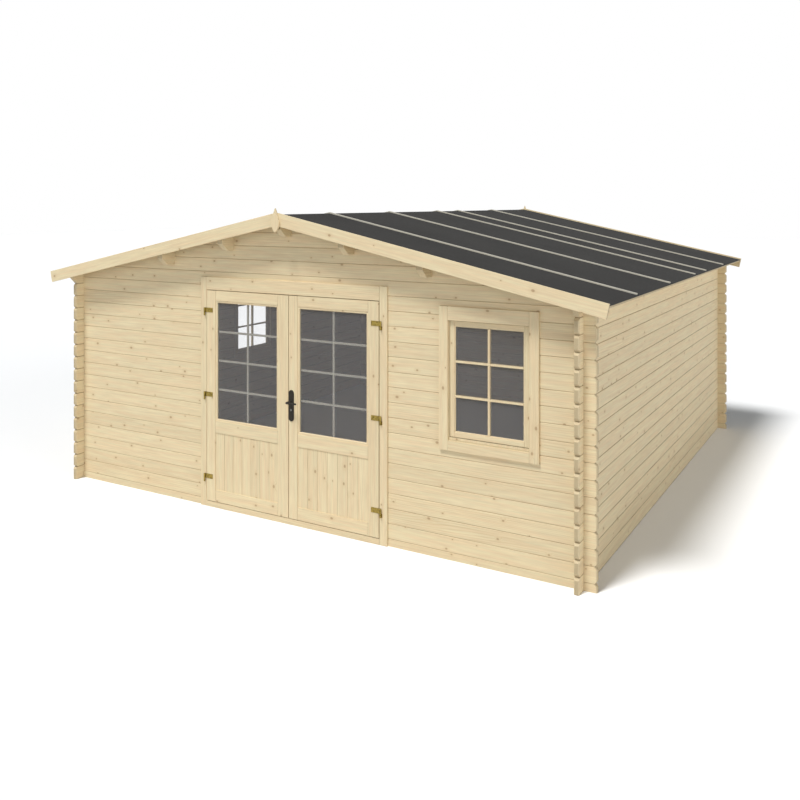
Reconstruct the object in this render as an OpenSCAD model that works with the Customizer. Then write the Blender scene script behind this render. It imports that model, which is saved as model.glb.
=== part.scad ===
// Log cabin with a gable front, a glazed double door and two windows.
// Origin in the middle of the plan at ground level, the door faces -Y.

/* [Log walls] */
// Width over the outer faces of the side walls
wall_w = 5180; // [4800:10:6400]
// Depth over the outer faces of the front and rear walls
wall_d = 5180; // [3600:10:6400]
// Height of one log
course = 121; // [118:1:128]
// Thickness of a log
log_t = 40; // [34:1:50]
// How far the log ends run past the crossing wall
log_end = 98; // [70:1:110]
// Depth of the vee along each joint between logs
vee = 4; // [2:0.5:6]
// Bevel on the upper and lower edge of each log end
end_bevel = 22; // [10:1:26]
// Chamfer on the upright edges of each log end
end_ease = 8; // [2:1:12]
// Whole logs added between the doorway and the eaves
added_courses = 0; // [0:1:2]
// Height of the bevelled strip on top of the side walls
seat_rise = 10; // [4:1:30]

/* [Roof] */
// Slope of the roof in degrees
pitch = 12; // [10:0.1:18]
// Overhang of the roof boards past the side walls
eave_over = 223; // [150:1:320]
// Overhang of the barge boards past the gable walls
gable_over = 178; // [150:1:260]
// Thickness of the roof boards
board_t = 19; // [15:1:28]
// Thickness of the roofing felt
felt_t = 3; // [2:0.5:5]
// How far the felt runs past the eave
felt_lip = 6; // [2:1:12]
// Width of a felt batten
batten_w = 28; // [20:1:45]
// Thickness of a felt batten
batten_t = 11; // [8:1:20]
// Gap between the lower end of a batten and the eave
batten_stop = 12; // [5:1:60]
// Places of the felt battens along the roof, from the middle
batten_y = [-1975, -900, 150, 680, 1650];
// Width of a barge board
barge_w = 109; // [90:1:140]
// Thickness of a barge board
barge_t = 20; // [16:1:28]
// How far a barge board stands above the felt
barge_lip = 15; // [4:1:25]
// How far a barge board runs past the roof boards at the eave
barge_tail = 8; // [7:1:40]
// Height of a gable finial
finial_h = 206; // [140:1:280]
// Width of a gable finial
finial_w = 86; // [60:1:120]
// Thickness of a gable finial
finial_t = 18; // [12:1:28]
// Height of the finial tip above the ridge of the barge boards
finial_rise = 38; // [20:1:60]
// Distance of the widest part of a finial from its tip, as a share of its height
finial_waist = 0.55; // [0.45:0.01:0.65]

/* [Purlins] */
// Width of a purlin
purlin_w = 56; // [44:1:80]
// Depth of a purlin at its middle
purlin_h = 165; // [130:1:190]
// Distance of the upper purlins from the ridge
upper_purlin_x = 635; // [500:5:800]
// Distance of the lower purlins from the ridge
lower_purlin_x = 1352; // [1100:5:1700]
// Length of the flat underside of a beam end outside the wall
beam_flat = 85; // [60:1:110]
// Height of the slanted cut on a beam end
beam_cut_h = 62; // [40:1:80]

/* [Double door] */
// Width of one door leaf
leaf_w = 904; // [700:1:960]
// Height of a door leaf
leaf_h = 1895; // [1600:1:2100]
// Thickness of a door leaf
leaf_t = 40; // [36:1:46]
// Running gap around the leaves
leaf_gap = 5; // [5:0.5:8]
// Gap between the two leaves
meet_gap = 8; // [8:0.5:12]
// How far the gap between the leaves lies right of the middle of the doorway
meet_shift = 10; // [0:1:12]
// How far the leaves stand in front of the casings
leaf_proud = 2; // [1:0.5:4]
// Height of the threshold
sill_h = 48; // [35:1:60]
// Width of the stiles
stile_w = 100; // [90:1:120]
// Width of the top rail
top_rail = 89; // [80:1:120]
// Width of the middle rail
mid_rail = 107; // [90:1:130]
// Width of the bottom rail
bottom_rail = 108; // [90:1:140]
// Height of the boarded panel
panel_h = 511; // [400:1:600]
// Thickness of the boarded panel
panel_t = 16; // [12:1:18]
// How far the panel face lies behind the stiles
panel_set = 7; // [5:1:14]
// Number of boards in a panel
panel_boards = 7; // [4:1:9]
// Width of the glazing bead
bead_w = 20; // [14:1:26]
// How far the glazing bead lies behind the stiles
bead_set = 5; // [3:1:8]
// Thickness of the panes
glass_t = 6; // [4:1:10]
// How far panes and panels reach into their grooves
groove = 9; // [6:1:12]
// Width of the side casings
casing_w = 71; // [60:1:90]
// Height of the head casing
head_casing_h = 117; // [100:1:130]
// Thickness of the casings
casing_t = 18; // [14:1:24]
// Chamfer along the front edges of casings and window trims
ease = 3; // [1:0.5:6]
// Thickness of the door jambs
jamb_t = 42; // [34:1:50]
// Depth of the door frame behind the wall's inner face
jamb_back = 20; // [12:1:40]
// Thickness of the door stop behind the leaves
stop_t = 14; // [12:1:24]
// How far the door stop reaches in front of the jamb
stop_reach = 22; // [15:1:30]

/* [Door furniture] */
// Height of the lowest hinge above the bottom of the leaf
hinge_low = 220; // [150:1:300]
// Distance of the highest hinge from the top of the leaf
hinge_high = 177; // [150:1:300]
// How far the middle hinge sits below the middle of the other two
hinge_mid_drop = 10; // [0:1:60]
// Height of a hinge plate
hinge_h = 41; // [30:1:50]
// Length of a hinge plate from its pin
hinge_l = 92; // [76:1:105]
// Thickness of a hinge plate
hinge_t = 3; // [2:0.5:4]
// Distance of a hinge pin from the edge of the leaf
pin_out = 22; // [16:1:30]
// Outer diameter of a hinge knuckle
knuckle_d = 14; // [12:1:15]
// Diameter of a hinge pin
pin_d = 8; // [6:0.5:9]
// Length of the fixed lower knuckle
lower_knuckle = 29; // [22:1:45]
// Length of the fixed hinge plate from its pin
fixed_plate_l = 11; // [9:1:16]
// Height of the lever above the bottom of the leaf
lever_z = 997; // [900:1:1050]
// Distance of the lever spindle from the edge of the leaf
backset = 28; // [28:1:45]
// Length of the lever from its spindle
lever_l = 100; // [80:1:130]
// Distance of the lever from the handle plate
lever_out = 62; // [45:1:75]
// Diameter of the lever at its neck
lever_d = 20; // [16:1:22]
// Diameter of the lever at its tip
lever_tip_d = 15; // [10:1:16]
// Diameter of the spindle
spindle_d = 10; // [8:1:12]
// Height of the handle plate
plate_h = 264; // [220:1:280]
// Width of the handle plate
plate_w = 52; // [44:1:54]
// Thickness of the handle plate
plate_t = 6; // [4:0.5:8]
// Height of the spindle above the middle of the handle plate
plate_up = 35; // [20:1:50]
// Distance between the spindle and the keyhole
key_drop = 72; // [60:1:90]

/* [Windows] */
// Place of the front window between the door frame and the side wall, as a share of that distance
win_share = 0.5655; // [0.45:0.0005:0.6]
// Place of the left window along its wall, from the middle towards the rear
side_win_y = 40; // [-200:10:200]
// Number of log heights from the top of a window opening to the top of the doorway
win_drop = 1; // [1:1:3]
// Number of whole logs below a window opening
win_base = 7; // [6:1:7]
// Width of a window opening in the wall
win_w = 723; // [600:1:800]
// Width of the window frame members
frame_w = 36; // [30:1:45]
// Depth of the window frame behind the wall's inner face
frame_back = 14; // [6:1:30]
// Width of the sash members
sash_w = 48; // [40:1:60]
// Thickness of the sash
sash_t = 32; // [28:1:34]
// How far the sash lies behind the wall's outer face
sash_set = 4; // [2:1:6]
// Gap between sash and frame
sash_gap = 0.5; // [0.3:0.1:0.9]
// How far the sash bead lies behind the sash face
sash_bead_set = 4; // [2:1:6]
// Width of the sash bead
sash_bead = 8; // [5:1:14]
// Width of the side trims
trim_w = 75; // [60:1:90]
// How far the trims reach over the wall beside the opening
trim_lap = 45; // [35:1:50]
// Height of the top trim
top_trim = 107; // [90:1:115]
// How far the top trim reaches over the wall
top_lap = 72; // [60:1:75]
// Height of the bottom trim
bottom_trim = 76; // [60:1:90]
// How far the bottom trim reaches over the wall
bottom_lap = 64; // [50:1:70]
// Thickness of the trims
trim_t = 20; // [14:1:26]
// Height of the front edge of the window sill
sill_edge = 3; // [2:1:8]
// Fall of the window sill
sill_fall = 5; // [3:1:12]
// How far the window sill stays behind the bottom trim
sill_back = 9; // [4:1:12]

/* [Hidden] */
$fn = 48;

// Overshoot of cuts and clearance between seated pieces
over = 5;
fit = 0.2;
// Play of the hinge pins and of the spindle in their holes, and of the knuckles before the leaf
pin_play = 0.5;
spindle_play = 1;
knuckle_play = 1;

// Wood, felt, glass and metal colours
spruce = [0.89, 0.81, 0.64];
spruce_dark = [0.82, 0.73, 0.55];
felt_grey = [0.27, 0.26, 0.26];
glass_grey = [0.38, 0.40, 0.41, 0.6];
brass = [0.70, 0.58, 0.26];
black_iron = [0.13, 0.13, 0.13];

half_w = wall_w / 2;
half_d = wall_d / 2;

// Doorway
door_half = meet_gap / 2 + leaf_w + leaf_gap;
casing_y = -half_d - casing_t;
leaf_y = casing_y - leaf_proud;
leaf_z = sill_h + leaf_gap;
leaf_top = leaf_z + leaf_h;
door_cut = door_half + jamb_t;
head_z = leaf_top + leaf_gap;
// It ends at the first joint that leaves room for the head of the frame, half a log above a whole number of logs
door_courses = ceil((head_z + jamb_t) / course - 0.5);
door_top = (door_courses + 0.5) * course;
stop_y = leaf_y + leaf_t + leaf_gap;

// Number of logs in a side wall
side_courses = door_courses + 1 + added_courses;

// Underside of the roof boards: its height over the outer face of a side wall, and at the ridge
seat_z = side_courses * course + seat_rise;
ridge_z = seat_z + half_w * tan(pitch);
eave_x = half_w + eave_over;
roof_y = half_d + gable_over - barge_t;

// Undersides of the roof layers and top of the barge boards, square to the slope
board_n = fit;
felt_n = board_n + board_t + fit;
batten_n = felt_n + felt_t + fit;
barge_n = felt_n + felt_t + barge_lip;

function under(x) = ridge_z - abs(x) * tan(pitch);

// A point of the right roof slope, n above the underside of the boards, square to the slope
function slope_point(x, n) = [x + n * sin(pitch), under(x) + n * cos(pitch)];
function ridge_point(n) = [0, ridge_z + n / cos(pitch)];

// Heights of the log joints: side walls start with a whole log, gable walls with half a log
side_joints = [for (k = [1 : side_courses - 1]) k * course];
gable_joints = [for (k = [0 : ceil(ridge_z / course)]) (k + 0.5) * course];

// Openings inside a leaf, between its stiles and rails
open_x = meet_gap / 2 + stile_w;
open_w = leaf_w - 2 * stile_w;
panel_z = leaf_z + bottom_rail;
pane_z = panel_z + panel_h + mid_rail;
pane_h = leaf_top - top_rail - pane_z;
pane_y = leaf_y + leaf_t / 2 - glass_t / 2;

// Hinge pins stand in front of the casing, beside the leaf and clear of its face
pin_x = meet_gap / 2 + leaf_w + pin_out;
pin_y = leaf_y - knuckle_d / 2 - knuckle_play;
hinge_top = leaf_h - hinge_high;
hinge_z = [hinge_low, (hinge_low + hinge_top) / 2 - hinge_mid_drop, hinge_top];

// Lever spindle
lever_x = meet_gap / 2 + meet_shift + backset;
spindle_z = leaf_z + lever_z;

// Window opening in a wall that starts with a whole log, and in one that starts with half a log
win_x = door_cut + win_share * (half_w - log_t - door_cut);
win_h = (door_courses - win_base - win_drop) * course;
side_win_z = win_base * course;
gable_win_z = (win_base + 0.5) * course;

// Edges of the side trims, from the middle of a window
trim_outer = win_w / 2 + trim_lap;
trim_inner = trim_outer - trim_w;

// Extrudes a (y, z) outline along X, and an (x, z) outline along Y
module along_x(x0, len) {
    translate([x0, 0, 0])
        rotate([90, 0, 90])
            linear_extrude(len) children();
}

module along_y(y0, len) {
    translate([0, y0 + len, 0])
        rotate([90, 0, 0])
            linear_extrude(len) children();
}

// Box from one corner to the opposite one
module block(from, to) {
    translate(from) cube(to - from);
}

// Board on the face of a wall with eased front edges, standing or lying along X
module standing_board(from, to) {
    translate([0, 0, from[2]])
        linear_extrude(to[2] - from[2])
            polygon([[from[0] + ease, from[1]], [to[0] - ease, from[1]], [to[0], from[1] + ease],
                [to[0], to[1]], [from[0], to[1]], [from[0], from[1] + ease]]);
}

module lying_board(from, to) {
    along_x(from[0], to[0] - from[0])
        polygon([[from[1], from[2] + ease], [from[1] + ease, from[2]], [to[1], from[2]],
            [to[1], to[2]], [from[1] + ease, to[2]], [from[1], to[2] - ease]]);
}

// Right half of a part, and the same part on the left
module both_sides() {
    children();
    mirror([1, 0, 0]) children();
}

// Log walls

// Points up one face of a stack of logs, with a vee at each joint below the top
function vee_points(joints, at, depth, top) =
    [for (j = joints) if (j + abs(depth) < top) each [[at, j - abs(depth)], [at + depth, j], [at, j + abs(depth)]]];

// Reverses a list of points
function reversed(list) = [for (i = [len(list) - 1 : -1 : 0]) list[i]];

// Section through a wall of logs, outer face at s0, inner face at s0 + log_t
module log_section(joints, s0, top_outer, top_inner) {
    outer = concat([[s0, 0]], vee_points(joints, s0, vee, min(top_outer, top_inner)), [[s0, top_outer]]);
    inner = concat([[s0 + log_t, 0]],
        vee_points(joints, s0 + log_t, -vee, min(top_outer, top_inner)), [[s0 + log_t, top_inner]]);
    polygon(concat(outer, reversed(inner)));
}

// Outline of a gable wall with bevelled log ends
module gable_outline() {
    end_x = half_w + log_end;
    right = concat([[end_x, 0]], vee_points(gable_joints, end_x, -end_bevel, under(end_x)), [[end_x, under(end_x)]]);
    left = [for (p = right) [-p[0], p[1]]];
    polygon(concat(right, [[0, ridge_z]], reversed(left)));
}

// Outline of a side wall: the top log reaches under the barge boards on slanted ends
module side_outline() {
    end_y = half_d + log_end;
    top_log = (side_courses - 1) * course;
    top_z = seat_z + log_t * tan(pitch);
    tip = roof_y - fit;
    slant_z = min(top_log + end_bevel + tip - end_y, top_log + course);
    rear = concat([[end_y, 0]], vee_points(side_joints, end_y, -end_bevel, top_log + course),
        [[tip, slant_z], [tip, top_z]]);
    front = [for (p = rear) [-p[0], p[1]]];
    polygon(concat(rear, reversed(front)));
}

// Plan of a log with eased upright edges at both ends, lying along X
module log_plan(half_len, y0) {
    side = half_len - end_ease;
    y1 = y0 + log_t;
    polygon([[-side, y0], [side, y0], [half_len, y0 + end_ease], [half_len, y1 - end_ease],
        [side, y1], [-side, y1], [-half_len, y1 - end_ease], [-half_len, y0 + end_ease]]);
}

// Where walls cross, each log keeps the middle half of its height.
// Cuts in a gable wall take the necks of the side logs, and the other way round.
module corner_cuts(first, last, shift) {
    for (k = [first : last])
        for (sx = [-1, 1])
            for (sy = [-1, 1])
                translate([sx * (half_w - log_t / 2), sy * (half_d - log_t / 2), (k + shift) * course])
                    cube([log_t + 2 * fit, log_t + 2 * fit, course / 2 + fit], center = true);
}

// Notches for the purlins, open towards the roof
module purlin_notches(y0) {
    for (x = [0, upper_purlin_x, -upper_purlin_x, lower_purlin_x, -lower_purlin_x])
        block([x - purlin_w / 2 - fit, y0 - over, under(x) - purlin_h - fit],
            [x + purlin_w / 2 + fit, y0 + log_t + over, ridge_z + over]);
}

// A whole gable wall with its outer face at y0, or its inner face on the rear side
module gable_wall(y0) {
    difference() {
        intersection() {
            along_x(-half_w - log_end, wall_w + 2 * log_end)
                log_section(gable_joints, y0, ridge_z, ridge_z);
            along_y(y0 - over, log_t + 2 * over) gable_outline();
            linear_extrude(ridge_z + over) log_plan(half_w + log_end, y0);
        }
        corner_cuts(0, side_courses - 1, 0.5);
        purlin_notches(y0);
    }
}

// Room for the logs of the right side wall: eased ends below the top log
module side_ends() {
    top_log = (side_courses - 1) * course;
    rotate([0, 0, 90]) linear_extrude(top_log) log_plan(half_d + log_end, -half_w);
    block([half_w - log_t, -roof_y, top_log], [half_w, roof_y, ridge_z]);
}

// A side wall, drawn on the right
module side_wall() {
    difference() {
        intersection() {
            along_y(-roof_y, 2 * roof_y)
                mirror([1, 0]) translate([-half_w, 0])
                    log_section(side_joints, 0, seat_z, seat_z + log_t * tan(pitch));
            along_x(half_w - log_t - over, log_t + 2 * over) side_outline();
            side_ends();
        }
        corner_cuts(0, side_courses, 0);
    }
}

// Opening for a window in a wall whose outer face is at y = 0
module window_cut(z0) {
    block([-win_w / 2 - fit, -over, z0 - fit], [win_w / 2 + fit, log_t + over, z0 + win_h + fit]);
}

module at_front_window() {
    translate([win_x, -half_d, 0]) children();
}

module at_left_window() {
    rotate([0, 0, -90]) translate([-side_win_y, -half_w, 0]) children();
}

module front_wall_left() {
    color(spruce)
        intersection() {
            gable_wall(-half_d);
            block([-half_w - log_end - over, -half_d - over, 0], [-door_cut - fit, -half_d + log_t + over, door_top]);
        }
}

module front_wall_right() {
    color(spruce)
        difference() {
            intersection() {
                gable_wall(-half_d);
                block([door_cut + fit, -half_d - over, 0],
                    [half_w + log_end + over, -half_d + log_t + over, door_top]);
            }
            at_front_window() window_cut(gable_win_z);
        }
}

module front_gable() {
    color(spruce)
        intersection() {
            gable_wall(-half_d);
            block([-half_w - log_end - over, -half_d - over, door_top],
                [half_w + log_end + over, -half_d + log_t + over, ridge_z + over]);
        }
}

module rear_wall() {
    color(spruce) gable_wall(half_d - log_t);
}

module left_wall() {
    color(spruce_dark)
        difference() {
            mirror([1, 0, 0]) side_wall();
            at_left_window() window_cut(side_win_z);
        }
}

module right_wall() {
    color(spruce_dark) side_wall();
}

// Purlins

// Side view of a beam end: flat underside, slanted cut, then upright behind the barge board
module beam_outline(bottom) {
    tip = roof_y - fit;
    rear = [[half_d + beam_flat, bottom], [tip, bottom + beam_cut_h], [tip, ridge_z + over]];
    front = [for (p = rear) [-p[0], p[1]]];
    polygon(concat(rear, reversed(front)));
}

module purlin(x) {
    bottom = under(x) - purlin_h;
    x0 = x - purlin_w / 2;
    x1 = x + purlin_w / 2;
    peak = x == 0 ? [[0, ridge_z]] : [];
    intersection() {
        along_y(-roof_y, 2 * roof_y)
            polygon(concat([[x0, bottom], [x1, bottom], [x1, under(x1)]], peak, [[x0, under(x0)]]));
        along_x(x0 - over, purlin_w + 2 * over) beam_outline(bottom);
    }
}

module ridge_purlin() {
    color(spruce) purlin(0);
}

module left_upper_purlin() {
    color(spruce) purlin(-upper_purlin_x);
}

module left_lower_purlin() {
    color(spruce) purlin(-lower_purlin_x);
}

module right_upper_purlin() {
    color(spruce) purlin(upper_purlin_x);
}

module right_lower_purlin() {
    color(spruce) purlin(lower_purlin_x);
}

// Roof

// Layer of the right slope between two heights above the underside of the boards
module roof_layer(n0, n1, x_end, y0, len) {
    along_y(y0, len)
        polygon([ridge_point(n0), slope_point(x_end, n0), slope_point(x_end, n1), ridge_point(n1)]);
}

module roof_boards() {
    color(spruce_dark) roof_layer(board_n, board_n + board_t, eave_x, -roof_y, 2 * roof_y);
}

module roof_felt() {
    color(felt_grey) roof_layer(felt_n, felt_n + felt_t, eave_x + felt_lip, -roof_y, 2 * roof_y);
}

module felt_battens() {
    color(spruce_dark)
        for (y = batten_y)
            roof_layer(batten_n, batten_n + batten_t, eave_x - batten_stop, y - batten_w / 2, batten_w);
}

module front_barge() {
    color(spruce) roof_layer(barge_n - barge_w, barge_n, eave_x + barge_tail, -roof_y - barge_t, barge_t);
}

module roof_boards_left() {
    mirror([1, 0, 0]) roof_boards();
}

module roof_boards_right() {
    roof_boards();
}

module roof_felt_left() {
    mirror([1, 0, 0]) roof_felt();
}

module roof_felt_right() {
    roof_felt();
}

module felt_battens_left() {
    mirror([1, 0, 0]) felt_battens();
}

module felt_battens_right() {
    felt_battens();
}

module front_barge_left() {
    mirror([1, 0, 0]) front_barge();
}

module front_barge_right() {
    front_barge();
}

module rear_barge_left() {
    rotate([0, 0, 180]) front_barge();
}

module rear_barge_right() {
    mirror([0, 1, 0]) front_barge();
}

// Finial on the meeting barge boards: a pointed upper part, and a lower part between two arcs that cross at its foot
module finial() {
    tip_z = ridge_z + barge_n / cos(pitch) + finial_rise;
    upper_h = finial_waist * finial_h;
    lower_h = finial_h - upper_h;
    half = finial_w / 2;
    arc_r = (lower_h * lower_h + half * half) / finial_w;
    color(spruce)
        along_y(-roof_y - barge_t - finial_t, finial_t)
            translate([0, tip_z - upper_h]) {
                polygon([[-half, 0], [half, 0], [0, upper_h]]);
                intersection() {
                    translate([arc_r - half, 0]) circle(r = arc_r);
                    translate([half - arc_r, 0]) circle(r = arc_r);
                    translate([-half, -lower_h]) square([finial_w, lower_h]);
                }
            }
}

module front_finial() {
    finial();
}

module rear_finial() {
    mirror([0, 1, 0]) finial();
}

// Door frame

// Jamb on the right with its stop behind the leaf
module door_jamb() {
    block([door_half, -half_d, 0], [door_cut, -half_d + log_t + jamb_back, head_z]);
    block([door_half - stop_reach, stop_y, sill_h], [door_half, stop_y + stop_t, head_z]);
}

module door_jambs() {
    color(spruce) both_sides() door_jamb();
}

module door_head() {
    color(spruce) {
        block([-door_cut, -half_d, head_z], [door_cut, -half_d + log_t + jamb_back, door_top - fit]);
        block([stop_reach - door_half, stop_y, head_z - stop_reach], [door_half - stop_reach, stop_y + stop_t, head_z]);
    }
}

module door_threshold() {
    color(spruce)
        block([-door_half, casing_y, 0], [door_half, -half_d + log_t + jamb_back, sill_h]);
}

module door_casings() {
    color(spruce)
        both_sides()
            standing_board([door_half, casing_y, 0], [door_half + casing_w, -half_d, head_z + head_casing_h]);
}

module door_head_casing() {
    color(spruce)
        lying_board([-door_half, casing_y, head_z], [door_half, -half_d, head_z + head_casing_h]);
}

// Door leaves, drawn on the right, with their meeting edge at meet_x

module leaf_frame(meet_x) {
    difference() {
        block([meet_x, leaf_y, leaf_z], [meet_gap / 2 + leaf_w, leaf_y + leaf_t, leaf_top]);
        // glazed opening, its beads set back on both faces, and the groove of the pane
        block([open_x + bead_w, leaf_y - over, pane_z + bead_w],
            [open_x + open_w - bead_w, leaf_y + leaf_t + over, pane_z + pane_h - bead_w]);
        block([open_x, leaf_y - over, pane_z], [open_x + open_w, leaf_y + bead_set, pane_z + pane_h]);
        block([open_x, leaf_y + leaf_t - bead_set, pane_z],
            [open_x + open_w, leaf_y + leaf_t + over, pane_z + pane_h]);
        block([open_x + bead_w - groove - fit, pane_y - fit, pane_z + bead_w - groove - fit],
            [open_x + open_w - bead_w + groove + fit, pane_y + glass_t + fit, pane_z + pane_h - bead_w + groove + fit]);
        // panel opening and the groove of the panel
        block([open_x, leaf_y - over, panel_z], [open_x + open_w, leaf_y + leaf_t + over, panel_z + panel_h]);
        block([open_x - groove - fit, leaf_y + panel_set - fit, panel_z - groove - fit],
            [open_x + open_w + groove + fit, leaf_y + panel_set + panel_t + fit, panel_z + panel_h + groove + fit]);
    }
}

// Plan of the panel: boards with a vee at each joint on both faces
module panel_plan() {
    board_w = open_w / panel_boards;
    joint_vee = vee / 2;
    x0 = open_x - groove;
    x1 = open_x + open_w + groove;
    joints = [for (k = [1 : panel_boards - 1]) open_x + k * board_w];
    y0 = leaf_y + panel_set;
    y1 = y0 + panel_t;
    front = [for (x = joints) each [[x - joint_vee, y0], [x, y0 + joint_vee], [x + joint_vee, y0]]];
    back = [for (x = joints) each [[x - joint_vee, y1], [x, y1 - joint_vee], [x + joint_vee, y1]]];
    polygon(concat([[x0, y0]], front, [[x1, y0], [x1, y1]], reversed(back), [[x0, y1]]));
}

module leaf_panel() {
    color(spruce)
        translate([0, 0, panel_z - groove])
            linear_extrude(panel_h + 2 * groove) panel_plan();
}

module leaf_glass() {
    color(glass_grey)
        block([open_x + bead_w - groove, pane_y, pane_z + bead_w - groove],
            [open_x + open_w - bead_w + groove, pane_y + glass_t, pane_z + pane_h - bead_w + groove]);
}

// Hinge plates on the leaf, each with the upper knuckle
module leaf_hinges() {
    color(brass)
        for (z = hinge_z)
            translate([pin_x, pin_y, leaf_z + z])
                difference() {
                    union() {
                        block([-hinge_l, leaf_y - hinge_t - pin_y, -hinge_h / 2], [0, leaf_y - pin_y, hinge_h / 2]);
                        translate([0, 0, -hinge_h / 2]) cylinder(d = knuckle_d, h = hinge_h);
                    }
                    translate([0, 0, -hinge_h / 2 - over]) cylinder(d = pin_d + 2 * pin_play, h = hinge_h + 2 * over);
                }
}

// Fixed plate on the casing with the lower knuckle and the pin
module fixed_hinges() {
    for (z = hinge_z)
        translate([pin_x, pin_y, leaf_z + z - hinge_h / 2 - 2 * fit]) {
            translate([0, 0, -lower_knuckle]) cylinder(d = knuckle_d, h = lower_knuckle);
            cylinder(d = pin_d, h = hinge_h);
            block([0, leaf_y - hinge_t - pin_y, -lower_knuckle], [fixed_plate_l, casing_y - pin_y, 0]);
        }
}

module left_leaf_frame() {
    color(spruce) mirror([1, 0, 0]) leaf_frame(meet_gap / 2 - meet_shift);
}

module left_leaf_panel() {
    mirror([1, 0, 0]) leaf_panel();
}

module left_leaf_glass() {
    mirror([1, 0, 0]) leaf_glass();
}

module left_leaf_hinges() {
    mirror([1, 0, 0]) leaf_hinges();
}

// The right leaf carries the lock
module right_leaf_frame() {
    color(spruce)
        difference() {
            leaf_frame(meet_gap / 2 + meet_shift);
            spindle_hole(leaf_y - over, leaf_t + 2 * over);
            key_hole(leaf_y - over, leaf_t + 2 * over);
        }
}

module right_leaf_panel() {
    leaf_panel();
}

module right_leaf_glass() {
    leaf_glass();
}

module right_leaf_hinges() {
    leaf_hinges();
}

module hinge_pins() {
    color(brass) both_sides() fixed_hinges();
}

// Handle

module at_spindle(y0) {
    translate([lever_x, y0, spindle_z]) rotate([-90, 0, 0]) children();
}

module spindle_hole(y0, len) {
    at_spindle(y0) cylinder(d = spindle_d + 2 * spindle_play, h = len);
}

// Round hole with a slot below it
module key_hole(y0, len) {
    key_d = 9;
    key_slot = 4;
    key_len = 14;
    along_y(y0, len)
        translate([lever_x, spindle_z - key_drop]) {
            circle(d = key_d);
            translate([-key_slot / 2, -key_len]) square([key_slot, key_len]);
        }
}

// Long plate with round ends
module handle_plate(y0) {
    end_r = plate_w / 2;
    mid_z = spindle_z - plate_up;
    difference() {
        along_y(y0, plate_t)
            translate([lever_x, mid_z]) {
                square([plate_w, plate_h - plate_w], center = true);
                for (s = [-1, 1])
                    translate([0, s * (plate_h / 2 - end_r)]) circle(r = end_r);
            }
        spindle_hole(y0 - over, plate_t + 2 * over);
        key_hole(y0 - over, plate_t + 2 * over);
    }
}

module handle_plates() {
    color(black_iron) {
        handle_plate(leaf_y - plate_t);
        handle_plate(leaf_y + leaf_t);
    }
}

// Neck and grip of the lever, outwards along -Z of the spindle
module lever_arm() {
    translate([0, 0, -lever_out]) cylinder(d = lever_d, h = lever_out);
    translate([0, 0, -lever_out]) {
        sphere(d = lever_d);
        rotate([0, 90, 0]) cylinder(d1 = lever_d, d2 = lever_tip_d, h = lever_l - lever_tip_d / 2);
        translate([lever_l - lever_tip_d / 2, 0, 0]) sphere(d = lever_tip_d);
    }
}

module door_lever() {
    arm_gap = 1;
    outer_y = leaf_y - plate_t - arm_gap;
    inner_y = leaf_y + leaf_t + plate_t + arm_gap;
    color(black_iron) {
        at_spindle(outer_y - over) cylinder(d = spindle_d, h = inner_y - outer_y + 2 * over);
        at_spindle(outer_y) lever_arm();
        at_spindle(inner_y) mirror([0, 0, 1]) lever_arm();
    }
}

// Windows, drawn with the wall's outer face at y = 0 and the opening's lower edge at z = 0

module ring(outer_w, outer_h, member, y0, y1, lift) {
    difference() {
        block([-outer_w / 2, y0, lift], [outer_w / 2, y1, lift + outer_h]);
        block([-outer_w / 2 + member, y0 - over, lift + member],
            [outer_w / 2 - member, y1 + over, lift + outer_h - member]);
    }
}

// Frame with a sloping sill that lies on the bottom trim, between the side trims
module window_frame() {
    sill_half = trim_inner - fit;
    sill_y = sill_back - trim_t;
    sill_z = bottom_trim - bottom_lap + fit;
    color(spruce) {
        ring(win_w, win_h, frame_w, 0, log_t + frame_back, 0);
        along_x(-sill_half, 2 * sill_half)
            polygon([[over, sill_z], [sill_y, sill_z], [sill_y, sill_z + sill_edge],
                [0, sill_z + sill_edge + sill_fall], [over, sill_z + sill_edge + sill_fall]]);
    }
}

module window_sash() {
    sash_o = frame_w + sash_gap;
    inner_w = win_w - 2 * sash_o - 2 * sash_w;
    inner_h = win_h - 2 * sash_o - 2 * sash_w;
    low = sash_o + sash_w;
    glass_y = sash_set + sash_t / 2 - glass_t / 2;
    color(spruce)
        difference() {
            ring(win_w - 2 * sash_o, win_h - 2 * sash_o, sash_w, sash_set, sash_set + sash_t, sash_o);
            // bead set back around the glass, and the groove of the pane
            block([-inner_w / 2 - sash_bead, sash_set - over, low - sash_bead],
                [inner_w / 2 + sash_bead, sash_set + sash_bead_set, low + inner_h + sash_bead]);
            block([-inner_w / 2 - groove - fit, glass_y - fit, low - groove - fit],
                [inner_w / 2 + groove + fit, glass_y + glass_t + fit, low + inner_h + groove + fit]);
        }
}

module window_glass() {
    edge = frame_w + sash_gap + sash_w - groove;
    glass_y = sash_set + sash_t / 2 - glass_t / 2;
    color(glass_grey)
        block([-win_w / 2 + edge, glass_y, edge], [win_w / 2 - edge, glass_y + glass_t, win_h - edge]);
}

// Side trims over the whole height, top and bottom trims between them
module window_trim() {
    inner = trim_inner - fit;
    color(spruce) {
        both_sides() standing_board([trim_inner, -trim_t, -bottom_lap], [trim_outer, 0, win_h + top_lap]);
        lying_board([-inner, -trim_t, win_h + top_lap - top_trim], [inner, 0, win_h + top_lap]);
        lying_board([-inner, -trim_t, -bottom_lap], [inner, 0, bottom_trim - bottom_lap]);
    }
}

module front_window_frame() {
    at_front_window() translate([0, 0, gable_win_z]) window_frame();
}

module front_window_sash() {
    at_front_window() translate([0, 0, gable_win_z]) window_sash();
}

module front_window_glass() {
    at_front_window() translate([0, 0, gable_win_z]) window_glass();
}

module front_window_trim() {
    at_front_window() translate([0, 0, gable_win_z]) window_trim();
}

module left_window_frame() {
    at_left_window() translate([0, 0, side_win_z]) window_frame();
}

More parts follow.
